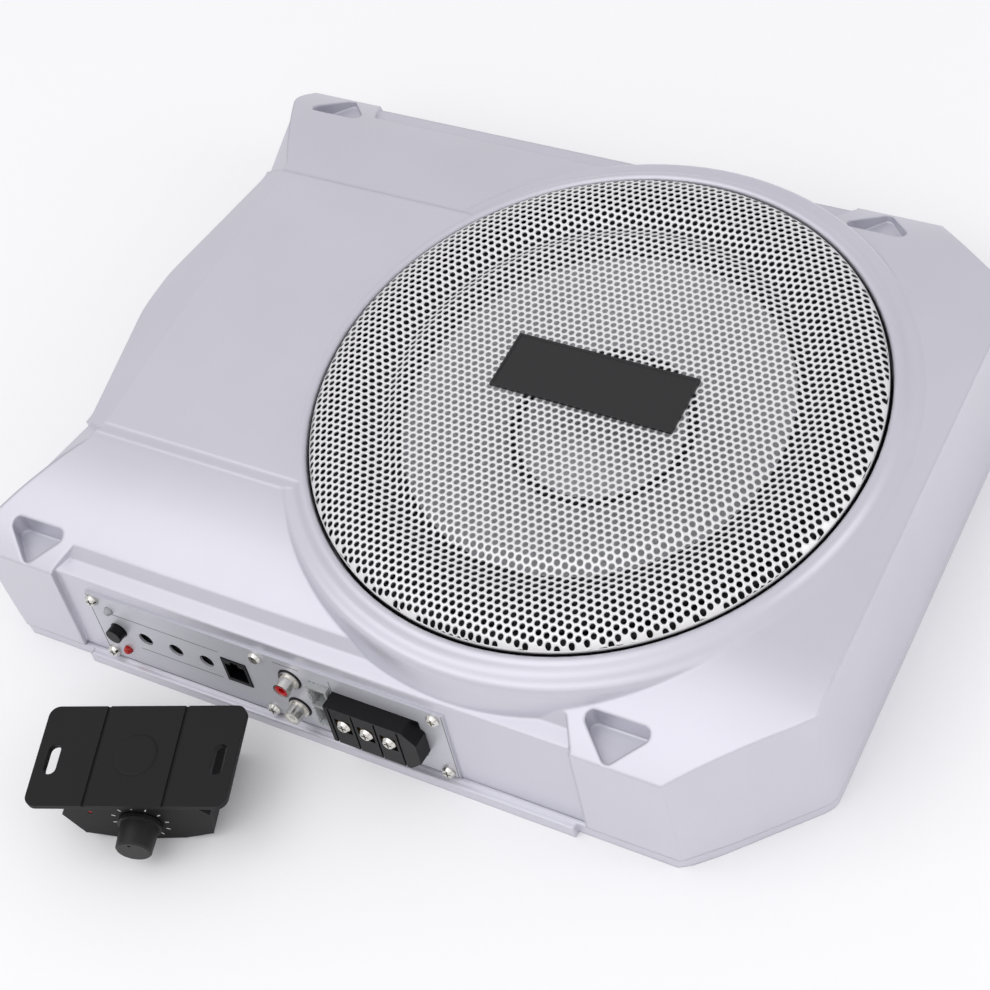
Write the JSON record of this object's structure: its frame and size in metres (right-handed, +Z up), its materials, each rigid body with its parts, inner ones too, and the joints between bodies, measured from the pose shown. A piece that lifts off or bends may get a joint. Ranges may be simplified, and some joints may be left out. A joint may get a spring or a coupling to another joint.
{
  "type": "powered car subwoofer",
  "caption": "Shallow powered car subwoofer: silver enclosure, domed round grille over a driver, side control panel, separate level control with a knob.",
  "frame": {"origin": "centre of the enclosure's base, on the surface it stands on", "axes": "+X towards the driver's end, -Y towards the control panel, +Z up"},
  "size_m": [0.419, 0.4241, 0.0891],
  "materials": {
    "shell_silver": "satin silver paint on moulded plastic",
    "grille_steel": "perforated steel, satin",
    "badge_black": "plain satin black plate",
    "black_plastic": "moulded black plastic",
    "basket_black": "black powder coat",
    "rubber_black": "soft black rubber",
    "dark_screw": "black zinc",
    "bright_screw": "bright nickel",
    "plated_iron": "zinc plated",
    "ferrite": "sintered ferrite",
    "former_tan": "heat resistant film",
    "copper_wire": "enamelled copper",
    "spider_cloth": "resin-stiffened cloth",
    "cone_silver": "silver coated fibre cone",
    "brass_contact": "gold plated",
    "panel_silver": "satin aluminium",
    "board_green": "solder resist",
    "heatsink_aluminium": "extruded",
    "sleeve_black": "shrink sleeve",
    "white_plastic": "moulded white plastic",
    "lens_red": "red lens",
    "lens_clear": "clear lens",
    "insert_red": "moulded red plastic",
    "clear_plastic": "milky clear nylon",
    "remote_black": "fine textured black plastic",
    "knob_black": "soft touch black"
  },
  "bodies": {
    "enclosure": {"top_cover": "shell_silver", "bottom_tray": "shell_silver", "case_screws": "dark_screw", "grille": "grille_steel", "grille_ring": "black_plastic", "badge": "badge_black", "basket": "basket_black", "basket_gasket": "rubber_black", "driver_screws": "dark_screw", "top_plate": "plated_iron", "magnet": "ferrite", "back_plate": "plated_iron", "spider": "spider_cloth", "surround": "rubber_black", "driver_tags": "brass_contact", "control_panel": "panel_silver", "panel_screws": "bright_screw", "amp_board": "board_green", "board_pillars": "brass_contact", "heatsink": "heatsink_aluminium", "transistors": "black_plastic", "clamp_bar": "plated_iron", "toroid": "copper_wire", "capacitors": "sleeve_black", "pot_bodies": "plated_iron", "phase_switch": "white_plastic", "power_led": "lens_red", "clip_led": "lens_clear", "remote_jack": "black_plastic", "phono_block": "black_plastic", "phono_shells": "bright_screw", "phono_insert_red": "insert_red", "phono_insert_white": "white_plastic", "speaker_in_socket": "clear_plastic", "speaker_in_pins": "brass_contact", "terminal_block": "black_plastic", "terminal_clamps": "brass_contact", "terminal_screws": "bright_screw"},
    "diaphragm": {"cone": "cone_silver", "cap_ring": "rubber_black", "dust_cap": "cone_silver", "coil_former": "former_tan", "voice_coil": "copper_wire"},
    "gain_shaft": {"gain_shaft": "black_plastic"},
    "filter_shaft": {"filter_shaft": "black_plastic"},
    "boost_shaft": {"boost_shaft": "black_plastic"},
    "phase_button": {"phase_button": "black_plastic"},
    "remote": {"remote_plate": "remote_black", "remote_housing": "remote_black", "remote_back": "remote_black", "remote_pot": "plated_iron", "remote_board": "board_green", "remote_led": "lens_red", "remote_socket": "black_plastic", "remote_screws": "dark_screw"},
    "remote_knob": {"remote_knob": "knob_black"}
  },
  "joints": [
    {"name": "cone_travel", "type": "slide", "parent": "enclosure", "child": "diaphragm", "axis": [0, 0, 1], "range_m": [-0.006, 0.006], "stiffness_N_per_m": 4000, "deforming": ["surround", "spider"]},
    {"name": "gain_turn", "type": "hinge", "parent": "enclosure", "child": "gain_shaft", "pos_m": [-0.1184, -0.15876, 0.02838], "axis": [0, -0.9903, 0.1392], "range_deg": [-140, 140]},
    {"name": "filter_turn", "type": "hinge", "parent": "enclosure", "child": "filter_shaft", "pos_m": [-0.1006, -0.15876, 0.02838], "axis": [0, -0.9903, 0.1392], "range_deg": [-140, 140]},
    {"name": "boost_turn", "type": "hinge", "parent": "enclosure", "child": "boost_shaft", "pos_m": [-0.0828, -0.15876, 0.02838], "axis": [0, -0.9903, 0.1392], "range_deg": [-140, 140]},
    {"name": "phase_press", "type": "slide", "parent": "enclosure", "child": "phase_button", "axis": [0, 0.9903, -0.1392], "range_m": [0, 0.002], "stiffness_N_per_m": 400},
    {"name": "remote_lift", "type": "slide", "parent": "enclosure", "child": "remote", "axis": [0, 0, 1], "range_m": [0, 0.12]},
    {"name": "level_turn", "type": "hinge", "parent": "remote", "child": "remote_knob", "pos_m": [-0.07434, -0.23805, 0.016], "axis": [0.342, -0.9397, 0], "range_deg": [-140, 140]}
  ]
}
